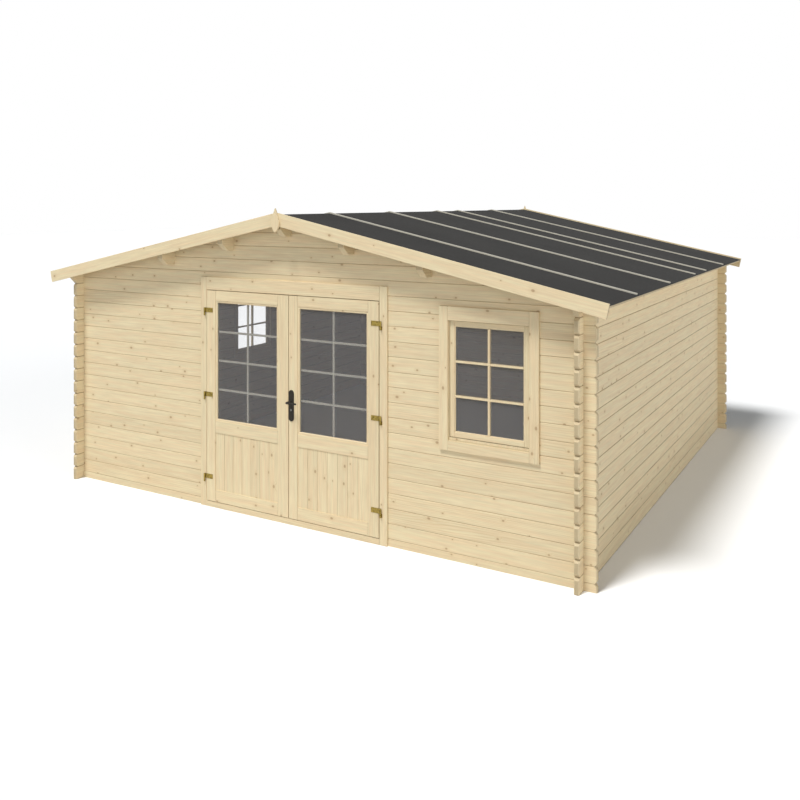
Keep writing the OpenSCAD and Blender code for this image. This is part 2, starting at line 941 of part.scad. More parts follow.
module left_window_sash() {
    at_left_window() translate([0, 0, side_win_z]) window_sash();
}

module left_window_glass() {
    at_left_window() translate([0, 0, side_win_z]) window_glass();
}

module left_window_trim() {
    at_left_window() translate([0, 0, side_win_z]) window_trim();
}

front_wall_left();
front_wall_right();
front_gable();
rear_wall();
left_wall();
right_wall();
ridge_purlin();
left_upper_purlin();
left_lower_purlin();
right_upper_purlin();
right_lower_purlin();
roof_boards_left();
roof_boards_right();
roof_felt_left();
roof_felt_right();
felt_battens_left();
felt_battens_right();
front_barge_left();
front_barge_right();
rear_barge_left();
rear_barge_right();
front_finial();
rear_finial();
door_jambs();
door_head();
door_threshold();
door_casings();
door_head_casing();
left_leaf_frame();
left_leaf_panel();
left_leaf_glass();
left_leaf_hinges();
right_leaf_frame();
right_leaf_panel();
right_leaf_glass();
right_leaf_hinges();
hinge_pins();
handle_plates();
door_lever();
front_window_frame();
front_window_sash();
front_window_glass();
front_window_trim();
left_window_frame();
left_window_sash();
left_window_glass();
left_window_trim();
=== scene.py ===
import math
import random

import bmesh
import bpy
from mathutils import Matrix, Vector


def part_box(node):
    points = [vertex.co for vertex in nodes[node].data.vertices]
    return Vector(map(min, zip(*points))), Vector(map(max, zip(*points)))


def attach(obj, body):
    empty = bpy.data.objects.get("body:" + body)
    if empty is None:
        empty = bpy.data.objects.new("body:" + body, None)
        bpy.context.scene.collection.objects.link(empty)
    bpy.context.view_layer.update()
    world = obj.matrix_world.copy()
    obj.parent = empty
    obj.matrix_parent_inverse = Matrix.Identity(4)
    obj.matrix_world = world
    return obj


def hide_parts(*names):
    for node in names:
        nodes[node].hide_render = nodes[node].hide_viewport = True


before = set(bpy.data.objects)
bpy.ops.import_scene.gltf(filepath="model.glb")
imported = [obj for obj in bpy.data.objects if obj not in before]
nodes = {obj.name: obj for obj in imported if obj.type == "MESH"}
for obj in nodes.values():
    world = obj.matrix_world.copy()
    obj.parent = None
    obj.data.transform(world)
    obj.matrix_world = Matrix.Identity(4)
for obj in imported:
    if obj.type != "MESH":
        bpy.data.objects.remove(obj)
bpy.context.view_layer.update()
scene = bpy.context.scene
scene.view_settings.view_transform = "Standard"
dice = random.Random(11)  # tones of the boards


# shader tree helpers

def newMaterial(name):
    mat = bpy.data.materials.new(name)
    mat.use_nodes = True
    tree = mat.node_tree
    tree.nodes.clear()
    bsdf = tree.nodes.new("ShaderNodeBsdfPrincipled")
    out = tree.nodes.new("ShaderNodeOutputMaterial")
    tree.links.new(bsdf.outputs["BSDF"], out.inputs["Surface"])
    return mat, tree, bsdf


def feed(tree, socket, value):  # a number or a colour is set, a socket is linked
    if isinstance(value, bpy.types.NodeSocket):
        tree.links.new(value, socket)
    else:
        socket.default_value = value


def calc(tree, operation, *values):
    node = tree.nodes.new("ShaderNodeMath")
    node.operation = operation
    for socket, value in zip(node.inputs, values):
        feed(tree, socket, value)
    return node.outputs[0]


def smoothStep(tree, value, zeroAt, oneAt):
    node = tree.nodes.new("ShaderNodeMapRange")
    node.interpolation_type = "SMOOTHSTEP"
    feed(tree, node.inputs["Value"], value)
    feed(tree, node.inputs["From Min"], zeroAt)
    feed(tree, node.inputs["From Max"], oneAt)
    return node.outputs["Result"]


def remap(tree, value, low, high):  # 0..1 to low..high
    node = tree.nodes.new("ShaderNodeMapRange")
    feed(tree, node.inputs["Value"], value)
    node.inputs["To Min"].default_value = low
    node.inputs["To Max"].default_value = high
    return node.outputs["Result"]


def blendColour(tree, factor, first, second, mode="MIX"):
    node = tree.nodes.new("ShaderNodeMix")
    node.data_type = "RGBA"
    node.blend_type = mode
    feed(tree, node.inputs[0], factor)
    feed(tree, node.inputs[6], first)
    feed(tree, node.inputs[7], second)
    return node.outputs[2]


def joinAxes(tree, x, y, z):
    node = tree.nodes.new("ShaderNodeCombineXYZ")
    for socket, value in zip(node.inputs, (x, y, z)):
        feed(tree, socket, value)
    return node.outputs[0]


def noise(tree, vector, scale, detail=2.0, roughness=0.5):
    node = tree.nodes.new("ShaderNodeTexNoise")
    feed(tree, node.inputs["Vector"], vector)
    node.inputs["Scale"].default_value = scale
    node.inputs["Detail"].default_value = detail
    node.inputs["Roughness"].default_value = roughness
    return node.outputs["Fac"]


def addBump(tree, bsdf, height, strength, distance):
    node = tree.nodes.new("ShaderNodeBump")
    node.inputs["Strength"].default_value = strength
    node.inputs["Distance"].default_value = distance
    feed(tree, node.inputs["Height"], height)
    tree.links.new(node.outputs["Normal"], bsdf.inputs["Normal"])


# spruce: one recipe, turned to the grain of each piece

spruceLook = {
    "pale": (0.742, 0.632, 0.408, 1),
    "warm": (0.735, 0.585, 0.37, 1),
    "latewood": (0.64, 0.49, 0.29, 1),
    "knot": (0.33, 0.20, 0.105, 1),
    # colour of the joints: dirt and painted shade
    "gap": (0.36, 0.27, 0.155, 1),
    "endGrain": (0.45, 0.36, 0.22, 1),
    "knotSpacing": 0.15,  # metres between the middles of knots, about
    "knotSqueeze": 0.7,  # they lie further apart along the grain
    "knotRadius": 0.0084,
    "knotShare": 0.48,  # how many of those places hold a knot
    "knotStrength": 0.64,
    "haloReach": 4.0,  # stained wood round a knot, in its radii
    "haloStrength": 0.42,
    "lineSpacing": 0.016,  # growth lines
    "lineStrength": 0.55,
    "lineWander": 9.0,  # how far they stray, in spacings
    "lineBulge": 1.4,  # how far they part round a knot
    "lineTilt": 40.0,  # how they shift with depth
    "wander": (0.55, 5.0),  # noise per metre, along and across the grain
    "fibre": (2.2, 130.0),
    "streak": (2.2, 32.0),
    "cloud": (6.0, 60.0),
    "fade": (0.4, 3.0),
    # noise that makes the dirt and painted shade in the joints here more and there less
    "dirtAndShade": (2.5, 1.0),
    "fibreTone": (0.86, 1.13),
    "cloudTone": (0.89, 1.11),
    "toneSpread": 0.055,  # light and dark boards
    "toneStep": 53.0,  # turns the tone of a loose board into its number
    "boardStep": 7.31,  # how far the pattern slides from board to board
    "endShare": 0.9,  # how far a sawn end takes its own colour
    "roughness": (0.54, 0.72),
}


def knotMasks(tree, slide, sideways):  # a flat pattern, so that knots go through the board
    look = spruceLook
    knots = tree.nodes.new("ShaderNodeTexVoronoi")
    knots.voronoi_dimensions = "2D"
    knots.inputs["Scale"].default_value = 1 / look["knotSpacing"]
    squeezed = calc(tree, "MULTIPLY", slide, look["knotSqueeze"])
    tree.links.new(joinAxes(tree, squeezed, sideways, 0), knots.inputs["Vector"])
    pick = tree.nodes.new("ShaderNodeSeparateColor")
    tree.links.new(knots.outputs["Color"], pick.inputs[0])
    reach = calc(tree, "MULTIPLY", knots.outputs["Distance"], look["knotSpacing"])
    present = calc(tree, "LESS_THAN", pick.outputs[0], look["knotShare"])
    radius = calc(tree, "MULTIPLY", remap(tree, pick.outputs[1], 0.5, 1.3), look["knotRadius"])
    rim = calc(tree, "MULTIPLY", radius, 1.3)
    heart = calc(tree, "MULTIPLY", radius, 0.5)
    stain = calc(tree, "MULTIPLY", radius, look["haloReach"])
    knot = calc(tree, "MULTIPLY", present, smoothStep(tree, reach, rim, heart))
    halo = calc(tree, "MULTIPLY", present, smoothStep(tree, reach, stain, radius))
    return knot, halo


def endOnMask(tree, coords, along, turn):  # 1 on sawn ends, which drink more light than planed faces
    facing = tree.nodes.new("ShaderNodeSeparateXYZ")
    turned = tree.nodes.new("ShaderNodeMapping")
    turned.vector_type = "NORMAL"
    turned.inputs["Rotation"].default_value = (0, turn, 0)
    tree.links.new(coords.outputs["Normal"], turned.inputs["Vector"])
    tree.links.new(turned.outputs["Vector"], facing.inputs[0])
    endOn = calc(tree, "ABSOLUTE", facing.outputs["XYZ".index(along)])
    return smoothStep(tree, endOn, 0.55, 0.85)


def jointMask(tree, rows, boardWidth, gap):  # 1 down in the joint between two boards
    part = calc(tree, "FRACT", rows)
    away = calc(tree, "SUBTRACT", 0.5, calc(tree, "ABSOLUTE", calc(tree, "SUBTRACT", part, 0.5)))
    return smoothStep(tree, calc(tree, "MULTIPLY", away, boardWidth), gap, gap * 0.25)


def spruce(name, along, across, boardWidth=0.0, firstJoint=0.0, gap=0.0, gapStrength=0.6, turn=0.0):
    look = spruceLook
    mat, tree, bsdf = newMaterial(name)
    coords = tree.nodes.new("ShaderNodeTexCoord")
    place = tree.nodes.new("ShaderNodeMapping")
    place.inputs["Rotation"].default_value = (0, turn, 0)
    split = tree.nodes.new("ShaderNodeSeparateXYZ")
    tree.links.new(coords.outputs["Object"], place.inputs["Vector"])
    tree.links.new(place.outputs["Vector"], split.inputs[0])
    axes = dict(zip("XYZ", split.outputs))
    lengthways, sideways = axes[along], axes[across]
    depth = axes[(set("XYZ") - {along, across}).pop()]

    ownTone = tree.nodes.new("ShaderNodeAttribute")  # set on the boards made below, 0 elsewhere
    ownTone.attribute_name = "boardTone"
    board = calc(tree, "MULTIPLY", ownTone.outputs["Fac"], look["toneStep"])
    if boardWidth:
        rows = calc(tree, "DIVIDE", calc(tree, "SUBTRACT", sideways, firstJoint), boardWidth)
        board = calc(tree, "ADD", board, calc(tree, "FLOOR", rows))
    slide = calc(tree, "ADD", lengthways, calc(tree, "MULTIPLY", board, look["boardStep"]))

    def stretched(which, third=None):  # coordinates drawn out along the grain
        longScale, crossScale = look[which]
        if third is None:
            third = calc(tree, "MULTIPLY", depth, crossScale)
        return joinAxes(tree, calc(tree, "MULTIPLY", slide, longScale),
                        calc(tree, "MULTIPLY", sideways, crossScale), third)

    # growth lines wander along the board and part round the knots
    knot, halo = knotMasks(tree, slide, sideways)
    wander = calc(tree, "MULTIPLY", noise(tree, stretched("wander"), 1.0, 1.0), look["lineWander"])
    bulge = calc(tree, "MULTIPLY", halo, look["lineBulge"])
    phase = calc(tree, "DIVIDE", sideways, look["lineSpacing"])
    phase = calc(tree, "ADD", phase, calc(tree, "ADD", wander, bulge))
    phase = calc(tree, "ADD", phase, calc(tree, "MULTIPLY", depth, look["lineTilt"]))
    line = smoothStep(tree, calc(tree, "SINE", calc(tree, "MULTIPLY", phase, math.tau)), -0.2, 1.0)
    fade = smoothStep(tree, noise(tree, stretched("fade", board), 1.0, 1.0), 0.35, 0.75)
    lineAmount = calc(tree, "MULTIPLY", line, fade)

    # fine fibre, streaks and clouds on each board's own tone
    fibre = noise(tree, stretched("fibre"), 1.0, 3.0, 0.6)
    streak = noise(tree, stretched("streak"), 1.0, 3.0, 0.6)
    cloud = noise(tree, stretched("cloud"), 1.0, 2.0)
    boardNoise = tree.nodes.new("ShaderNodeTexWhiteNoise")
    boardNoise.noise_dimensions = "1D"
    feed(tree, boardNoise.inputs["W"], board)
    tone = remap(tree, boardNoise.outputs["Value"], 1 - look["toneSpread"], 1.0)
    tone = calc(tree, "MULTIPLY", tone, remap(tree, fibre, *look["fibreTone"]))
    tone = calc(tree, "MULTIPLY", tone, remap(tree, cloud, *look["cloudTone"]))

    colour = blendColour(tree, smoothStep(tree, streak, 0.36, 0.64), look["pale"], look["warm"])
    lineShare = calc(tree, "MULTIPLY", lineAmount, look["lineStrength"])
    colour = blendColour(tree, lineShare, colour, look["latewood"])
    colour = blendColour(tree, 1.0, colour, joinAxes(tree, tone, tone, tone), "MULTIPLY")
    sawn = endOnMask(tree, coords, along, turn)
    for mask, share, tint in ((halo, "haloStrength", "latewood"), (knot, "knotStrength", "knot"),
                              (sawn, "endShare", "endGrain")):
        colour = blendColour(tree, calc(tree, "MULTIPLY", mask, look[share]), colour, look[tint])
    if gap:  # dirt and painted shade in the joints, here more and there less
        dirtAndShade = remap(tree, noise(tree, stretched("dirtAndShade"), 1.0, 2.0), 0.25 * gapStrength, 1.75 * gapStrength)
        inGap = jointMask(tree, rows, boardWidth, gap)
        colour = blendColour(tree, calc(tree, "MULTIPLY", inGap, dirtAndShade), colour, look["gap"])

    tree.links.new(colour, bsdf.inputs["Base Color"])
    tree.links.new(remap(tree, fibre, *look["roughness"]), bsdf.inputs["Roughness"])
    bsdf.inputs["Specular IOR Level"].default_value = 0.25
    raised = calc(tree, "MULTIPLY", fibre, 0.6)
    sunk = calc(tree, "MULTIPLY", lineAmount, 0.3)
    height = calc(tree, "SUBTRACT", calc(tree, "SUBTRACT", raised, sunk), knot)
    addBump(tree, bsdf, height, 0.2, 0.001)
    return mat


logBuild = {
    "course": 0.121,  # height of one log
    "frontGap": 0.0032,  # half the width of a joint line
    "frontShade": 0.62,  # how dark the joint is
    "sideGap": 0.0052,
    "sideShade": 0.8,
}
panelBuild = {"boards": 7, "groove": 0.009, "gap": 0.0035, "shade": 0.4}
pitch = math.radians(12.0)  # slope of the roof


def panelSpruce(name, node):  # boards of a door panel, counted from its own left edge
    low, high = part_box(node)
    left = low.x + panelBuild["groove"]
    width = (high.x - low.x - 2 * panelBuild["groove"]) / panelBuild["boards"]
    return spruce(name, "Z", "X", width, left, panelBuild["gap"], panelBuild["shade"])


course = logBuild["course"]
gableLogs = spruce("gableLogs", "X", "Z", course, course / 2, logBuild["frontGap"], logBuild["frontShade"])
sideLogs = spruce("sideLogs", "Y", "Z", course, 0.0, logBuild["sideGap"], logBuild["sideShade"])
uprightSpruce = spruce("uprightSpruce", "Z", "X")
uprightSideSpruce = spruce("uprightSideSpruce", "Z", "Y")
lyingSpruce = spruce("lyingSpruce", "X", "Z")
lyingSideSpruce = spruce("lyingSideSpruce", "Y", "Z")
rightSlopeSpruce = spruce("rightSlopeSpruce", "X", "Z", turn=-pitch)
leftSlopeSpruce = spruce("leftSlopeSpruce", "X", "Z", turn=pitch)
roofBoardSpruce = spruce("roofBoardSpruce", "X", "Y")
leftPanelSpruce = panelSpruce("leftPanelSpruce", "left_leaf_panel")
rightPanelSpruce = panelSpruce("rightPanelSpruce", "right_leaf_panel")
print("spruce materials made")


feltLook = {
    "dark": (0.021, 0.0202, 0.0192, 1),
    "grit": (0.0355, 0.0342, 0.032, 1),
    "grain": 420.0,  # noise per metre
    "cloud": 1.7,
    "gritShare": 0.7,  # the rest of the pattern is cloud
    "roughness": 0.93,
}


def roofingFelt():
    look = feltLook
    mat, tree, bsdf = newMaterial("roofingFelt")
    coords = tree.nodes.new("ShaderNodeTexCoord")
    grit = noise(tree, coords.outputs["Object"], look["grain"], 2.0, 0.7)
    cloud = noise(tree, coords.outputs["Object"], look["cloud"], 3.0)
    mixed = calc(tree, "ADD", calc(tree, "MULTIPLY", grit, look["gritShare"]),
                 calc(tree, "MULTIPLY", cloud, 1 - look["gritShare"]))
    colour = blendColour(tree, smoothStep(tree, mixed, 0.3, 0.7), look["dark"], look["grit"])
    tree.links.new(colour, bsdf.inputs["Base Color"])
    bsdf.inputs["Roughness"].default_value = look["roughness"]
    bsdf.inputs["Specular IOR Level"].default_value = 0.15
    addBump(tree, bsdf, grit, 0.5, 0.0015)
    return mat


greyedAndShadedLook = {  # two tones, and the stretch of the streaks in each direction; weathered battens, and dark wood that paints the shade behind the glass
    "weatheredBatten": ((0.47, 0.455, 0.40, 1), (0.52, 0.47, 0.37, 1), (2.0, 160.0, 20.0)),
    # bars and back beads behind the glass: dark wood as painted shade
    "shadedBarWood": ((0.22, 0.212, 0.175, 1), (0.25, 0.23, 0.178, 1), (90.0, 90.0, 90.0)),
}


def greyedAndShadedWood(name):
    grey, brown, stretchBy = greyedAndShadedLook[name]
    mat, tree, bsdf = newMaterial(name)
    coords = tree.nodes.new("ShaderNodeTexCoord")
    stretch = tree.nodes.new("ShaderNodeMapping")
    stretch.inputs["Scale"].default_value = stretchBy
    tree.links.new(coords.outputs["Object"], stretch.inputs["Vector"])
    streak = noise(tree, stretch.outputs["Vector"], 1.0, 3.0)
    tree.links.new(blendColour(tree, streak, grey, brown), bsdf.inputs["Base Color"])
    bsdf.inputs["Roughness"].default_value = 0.8
    addBump(tree, bsdf, streak, 0.3, 0.001)
    return mat


glassLook = {"veil": (0.84, 0.83, 0.86, 1), "cover": 0.062, "roughness": (0.03, 0.09)}


def greyGlass():
    mat, tree, bsdf = newMaterial("greyGlass")
    coords = tree.nodes.new("ShaderNodeTexCoord")
    dust = noise(tree, coords.outputs["Object"], 3.0, 4.0)
    tree.links.new(remap(tree, dust, *glassLook["roughness"]), bsdf.inputs["Roughness"])
    bsdf.inputs["Base Color"].default_value = glassLook["veil"]
    bsdf.inputs["Alpha"].default_value = glassLook["cover"]
    bsdf.inputs["IOR"].default_value = 1.5
    return mat


metalLook = {
    "hingeBrass": {"bright": (0.34, 0.25, 0.066, 1), "dull": (0.16, 0.115, 0.03, 1), "grain": 240.0,
                   "roughness": 0.32, "metallic": 1.0, "specular": 0.5},
    "blackIron": {"bright": (0.022, 0.018, 0.0135, 1), "dull": (0.036, 0.03, 0.024, 1), "grain": 320.0,
                  "roughness": 0.5, "metallic": 0.0, "specular": 0.2},
    "cylinderSteel": {"bright": (0.26, 0.255, 0.24, 1), "dull": (0.17, 0.165, 0.155, 1), "grain": 500.0,
                      "roughness": 0.35, "metallic": 1.0, "specular": 0.5},
}


def stainedMetal(name):  # two tones in soft spots, with a fine skin
    look = metalLook[name]
    mat, tree, bsdf = newMaterial(name)
    coords = tree.nodes.new("ShaderNodeTexCoord")
    stain = noise(tree, coords.outputs["Object"], look["grain"] / 4, 3.0, 0.6)
    pits = noise(tree, coords.outputs["Object"], look["grain"], 3.0)
    colour = blendColour(tree, smoothStep(tree, stain, 0.4, 0.7), look["bright"], look["dull"])
    tree.links.new(colour, bsdf.inputs["Base Color"])
    tree.links.new(remap(tree, pits, look["roughness"], look["roughness"] + 0.2), bsdf.inputs["Roughness"])
    bsdf.inputs["Metallic"].default_value = look["metallic"]
    bsdf.inputs["Specular IOR Level"].default_value = look["specular"]
    addBump(tree, bsdf, pits, 0.12, 0.0004)
    return mat


felt = roofingFelt()
batten, shadedBarWood = greyedAndShadedWood("weatheredBatten"), greyedAndShadedWood("shadedBarWood")
glass = greyGlass()
brass, iron, steel = stainedMetal("hingeBrass"), stainedMetal("blackIron"), stainedMetal("cylinderSteel")
print("felt, glass and metal materials made")

finishes = {
    gableLogs: ["front_wall_left", "front_wall_right", "front_gable", "rear_wall"],
    sideLogs: ["left_wall", "right_wall"],
    felt: ["roof_felt_left", "roof_felt_right"],
    uprightSpruce: ["door_jambs", "front_window_frame"],
    lyingSpruce: ["door_head"],
    uprightSideSpruce: ["left_window_frame"],
    leftPanelSpruce: ["left_leaf_panel"],
    rightPanelSpruce: ["right_leaf_panel"],
    glass: ["left_leaf_glass", "right_leaf_glass", "front_window_glass", "left_window_glass"],
    brass: ["hinge_pins"],
    iron: ["door_lever"],
}
for mat, names in finishes.items():
    for name in names:
        for slot in nodes[name].material_slots:
            slot.material = mat
print("finishes set on the packed nodes that stay in view")


# mesh helpers

def meshObject(name, bm, *mats):
    mesh = bpy.data.meshes.new(name)
    bm.to_mesh(mesh)
    bm.free()
    for mat in mats:
        mesh.materials.append(mat)
    obj = bpy.data.objects.new(name, mesh)
    scene.collection.objects.link(obj)
    return obj


def settle(obj, body, slotName, *stoodFor):  # body it moves with, finish (not used), imported nodes it stands for
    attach(obj, body)
    if stoodFor:
        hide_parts(*stoodFor)


def addBoard(bm, low, high, soft, matIndex):  # a sawn board with eased edges and its own tone
    tone = bm.verts.layers.float["boardTone"]
    before = set(bm.verts)
    corners = bmesh.ops.create_cube(bm, size=1.0)["verts"]
    for v in corners:
        spans = zip(low, high, v.co)
        v.co = Vector([(start + stop) / 2 + share * (stop - start) for start, stop, share in spans])
    ends = set(corners)
    edges = [e for e in bm.edges if e.verts[0] in ends]
    bmesh.ops.bevel(bm, geom=edges, offset=soft, segments=2, profile=0.6, affect="EDGES")
    own = dice.random()
    for v in [v for v in bm.verts if v not in before]:
        v[tone] = own
        for face in v.link_faces:
            face.material_index = matIndex


mitreGap = 0.0001  # hairline where two beads meet


def addMitredRing(bm, left, right, bottom, top, profile, uprightIndex, lyingIndex):
    # four prisms that meet on mitres; profile holds (inset, y) points
    tone = bm.verts.layers.float["boardTone"]
    corners = [(left, bottom, 1, 1), (right, bottom, -1, 1), (right, top, -1, -1), (left, top, 1, -1)]
    for k in range(4):
        own = dice.random()
        loops = []
        start, stop = corners[k], corners[(k + 1) % 4]
        along = Vector((stop[0] - start[0], stop[1] - start[1])).normalized() * mitreGap
        for (x, z, inX, inZ), gap in ((start, along), (stop, -along)):
            x, z = x + gap.x, z + gap.y
            loops.append([bm.verts.new((x + inX * inset, y, z + inZ * inset)) for inset, y in profile])
        faces = [bm.faces.new(loops[0]), bm.faces.new(loops[1][::-1])]
        for i in range(len(profile)):
            j = (i + 1) % len(profile)
            faces.append(bm.faces.new((loops[0][i], loops[1][i], loops[1][j], loops[0][j])))
        for v in loops[0] + loops[1]:
            v[tone] = own
        for face in faces:
            face.material_index = lyingIndex if k % 2 == 0 else uprightIndex
        bmesh.ops.recalc_face_normals(bm, faces=faces)


def beadProfile(size, faceY, glassY):  # section of a glazing bead, with a slanted inner edge
    bead = size["bead"]
    way = 1 if glassY > faceY else -1
    return [(0, faceY), (bead * size["beadFlat"], faceY), (bead, faceY + way * size["beadSlant"]),
            (bead, glassY), (0, glassY)]


def newBoards():
    bm = bmesh.new()
    bm.verts.layers.float.new("boardTone")
    return bm


easing = {"mergeWithin": 0.00001, "flatBelow": 1.0, "sharpFrom": 35.0}  # metres, degrees, degrees


def softCopy(node, body, slotName, mat, width):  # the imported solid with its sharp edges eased
    bm = newBoards()
    bm.from_mesh(nodes[node].data)
    tone = bm.verts.layers.float.get("boardTone")
    bmesh.ops.remove_doubles(bm, verts=bm.verts[:], dist=easing["mergeWithin"])
    flat, sharp = math.radians(easing["flatBelow"]), math.radians(easing["sharpFrom"])
    bmesh.ops.dissolve_limit(bm, angle_limit=flat, verts=bm.verts[:], edges=bm.edges[:])
    corners = [e for e in bm.edges if len(e.link_faces) == 2 and e.calc_face_angle(0) > sharp]
    bmesh.ops.bevel(bm, geom=corners, offset=width, segments=2, profile=0.6, affect="EDGES",
                    clamp_overlap=True)
    done = set()
    for first in bm.verts:  # one tone for each loose board
        if first in done:
            continue
        own = dice.random()
        done.add(first)
        spread = [first]
        while spread:
            v = spread.pop()
            v[tone] = own
            fresh = [e.other_vert(v) for e in v.link_edges if e.other_vert(v) not in done]
            done.update(fresh)
            spread += fresh
    for face in bm.faces:
        face.material_index = 0
    settle(meshObject(node + ".soft", bm, mat), body, slotName, node)


softEdges = {"barge": 0.003, "finial": 0.003, "purlin": 0.004, "batten": 0.0015, "casing": 0.0015,
             "metal": 0.0008}
for end in ("front", "rear"):
    softCopy(end + "_barge_left", "shed", "planed_spruce", leftSlopeSpruce, softEdges["barge"])
    softCopy(end + "_barge_right", "shed", "planed_spruce", rightSlopeSpruce, softEdges["barge"])
    softCopy(end + "_finial", "shed", "planed_spruce", uprightSpruce, softEdges["finial"])
for beam in ("ridge", "left_upper", "left_lower", "right_upper", "right_lower"):
    softCopy(beam + "_purlin", "shed", "log_spruce", lyingSideSpruce, softEdges["purlin"])
for side in ("left", "right"):
    softCopy("felt_battens_" + side, "shed", "batten_spruce", batten, softEdges["batten"])
    softCopy(side + "_leaf_hinges", side + "_leaf", "brass", brass, softEdges["metal"])
softCopy("door_casings", "shed", "planed_spruce", uprightSpruce, softEdges["casing"])
softCopy("door_head_casing", "shed", "planed_spruce", lyingSpruce, softEdges["casing"])
softCopy("door_threshold", "shed", "planed_spruce", lyingSpruce, softEdges["casing"])
softCopy("handle_plates", "right_leaf", "black_metal", iron, softEdges["metal"])
print("eased copies of beams, barge boards, casings and metal made")


# node tree helpers for what repeats

def newTree(name, **inputs):
    tree = bpy.data.node_groups.new(name, "GeometryNodeTree")
    tree.interface.new_socket(name="Geometry", in_out="INPUT", socket_type="NodeSocketGeometry")
    for label, kind in inputs.items():
        tree.interface.new_socket(name=label, in_out="INPUT", socket_type="NodeSocket" + kind)
    tree.interface.new_socket(name="Geometry", in_out="OUTPUT", socket_type="NodeSocketGeometry")
    return tree, tree.nodes.new("NodeGroupInput"), tree.nodes.new("NodeGroupOutput")


def addNode(tree, kind, **values):
    node = tree.nodes.new(kind)
    for label, value in values.items():
        feed(tree, node.inputs[label.replace("_", " ")], value)
    return node


def closeTree(tree, shape, source, out):  # every tree ends the same way
    real = addNode(tree, "GeometryNodeRealizeInstances", Geometry=shape)
    paint = addNode(tree, "GeometryNodeSetMaterial", Geometry=real.outputs[0],
                    Material=source.outputs["Material"])
    tree.links.new(paint.outputs[0], out.inputs[0])


def grow(name, tree, values, points=(), place=None, soft=0.0):  # runs a tree once and keeps the plain mesh
    mesh = bpy.data.meshes.new(name + "Seed")
    mesh.from_pydata([tuple(p) for p in points], [], [])
    obj = bpy.data.objects.new(name, mesh)
    modifier = obj.modifiers.new("grow", "NODES")
    modifier.node_group = tree
    for item in tree.interface.items_tree:
        if item.in_out == "INPUT" and item.name in values:
            modifier[item.identifier] = values[item.name]
    if soft:
        bevel = obj.modifiers.new("soft", "BEVEL")
        bevel.width = soft
        bevel.segments = 2
    scene.collection.objects.link(obj)
    graph = bpy.context.evaluated_depsgraph_get()
    grown = obj.evaluated_get(graph)
    plain = bpy.data.meshes.new_from_object(grown, preserve_all_data_layers=True, depsgraph=graph)
    obj.modifiers.clear()
    obj.data = plain
    plain.name = name
    bpy.data.meshes.remove(mesh)
    if place:
        plain.transform(place)
    return obj


def rowTree():  # boards laid side by side along Y, each running along X
    tree, source, out = newTree("boardRow", Count="Int", Pitch="Float", Gap="Float", Length="Float",
                                Thickness="Float", Seed="Int", Material="Material")
    wants = source.outputs
    step = joinAxes(tree, 0.0, wants["Pitch"], 0.0)
    line = addNode(tree, "GeometryNodeMeshLine", Count=wants["Count"], Offset=step)
    width = calc(tree, "SUBTRACT", wants["Pitch"], wants["Gap"])
    size = joinAxes(tree, wants["Length"], width, wants["Thickness"])
    block = addNode(tree, "GeometryNodeMeshCube", Size=size)
    laid = addNode(tree, "GeometryNodeInstanceOnPoints", Points=line.outputs[0], Instance=block.outputs[0])
    chance = tree.nodes.new("FunctionNodeRandomValue")
    feed(tree, chance.inputs["Seed"], wants["Seed"])
    store = tree.nodes.new("GeometryNodeStoreNamedAttribute")
    store.domain = "INSTANCE"
    store.inputs["Name"].default_value = "boardTone"
    tree.links.new(laid.outputs[0], store.inputs["Geometry"])
    tree.links.new(chance.outputs[1], store.inputs["Value"])
    closeTree(tree, store.outputs[0], source, out)
    return tree


def gridTree():  # upright and lying bars of a window, middle at the origin
    tree, source, out = newTree("barGrid", Width="Float", Height="Float", Columns="Int", Rows="Int",
                                Bar="Float", Depth="Float", Material="Material")
    wants = source.outputs

    def bars(extent, cells, asAxes, size):
        step = calc(tree, "DIVIDE", extent, cells)
        first = calc(tree, "SUBTRACT", step, calc(tree, "DIVIDE", extent, 2.0))
        line = addNode(tree, "GeometryNodeMeshLine", Count=calc(tree, "SUBTRACT", cells, 1.0),
                       Start_Location=asAxes(first), Offset=asAxes(step))
        bar = addNode(tree, "GeometryNodeMeshCube", Size=size)
        laid = addNode(tree, "GeometryNodeInstanceOnPoints", Points=line.outputs[0], Instance=bar.outputs[0])
        return laid.outputs[0]

    upright = bars(wants["Width"], wants["Columns"], lambda v: joinAxes(tree, v, 0.0, 0.0),
                   joinAxes(tree, wants["Bar"], wants["Depth"], wants["Height"]))
    thinner = calc(tree, "MULTIPLY", wants["Depth"], 0.94)  # lying bars stay just inside the upright ones
    lying = bars(wants["Height"], wants["Rows"], lambda v: joinAxes(tree, 0.0, 0.0, v),
                 joinAxes(tree, wants["Width"], thinner, wants["Bar"]))
    both = tree.nodes.new("GeometryNodeJoinGeometry")
    tree.links.new(upright, both.inputs[0])
    tree.links.new(lying, both.inputs[0])
    closeTree(tree, both.outputs[0], source, out)
    return tree


def headTree():  # a low screw or nail head on every point of the seed mesh
    tree, source, out = newTree("heads", Radius="Float", Rise="Float", Facing="Rotation", Material="Material")
    wants = source.outputs

    def cone(corners, bottom, top, rise):  # radii and rise as shares of the head's own
        return addNode(tree, "GeometryNodeMeshCone", Vertices=corners,
                       Radius_Bottom=calc(tree, "MULTIPLY", wants["Radius"], bottom),
                       Radius_Top=calc(tree, "MULTIPLY", wants["Radius"], top),
                       Depth=calc(tree, "MULTIPLY", wants["Rise"], rise)).outputs[0]

    both = tree.nodes.new("GeometryNodeJoinGeometry")
    tree.links.new(cone(14, 1.0, 0.62, 1.0), both.inputs[0])
    tree.links.new(cone(6, 0.34, 0.26, 1.25), both.inputs[0])  # a small six-sided drive in the middle
    placed = addNode(tree, "GeometryNodeInstanceOnPoints", Points=wants["Geometry"], Instance=both.outputs[0],
                     Rotation=wants["Facing"])
    closeTree(tree, placed.outputs[0], source, out)
    return tree


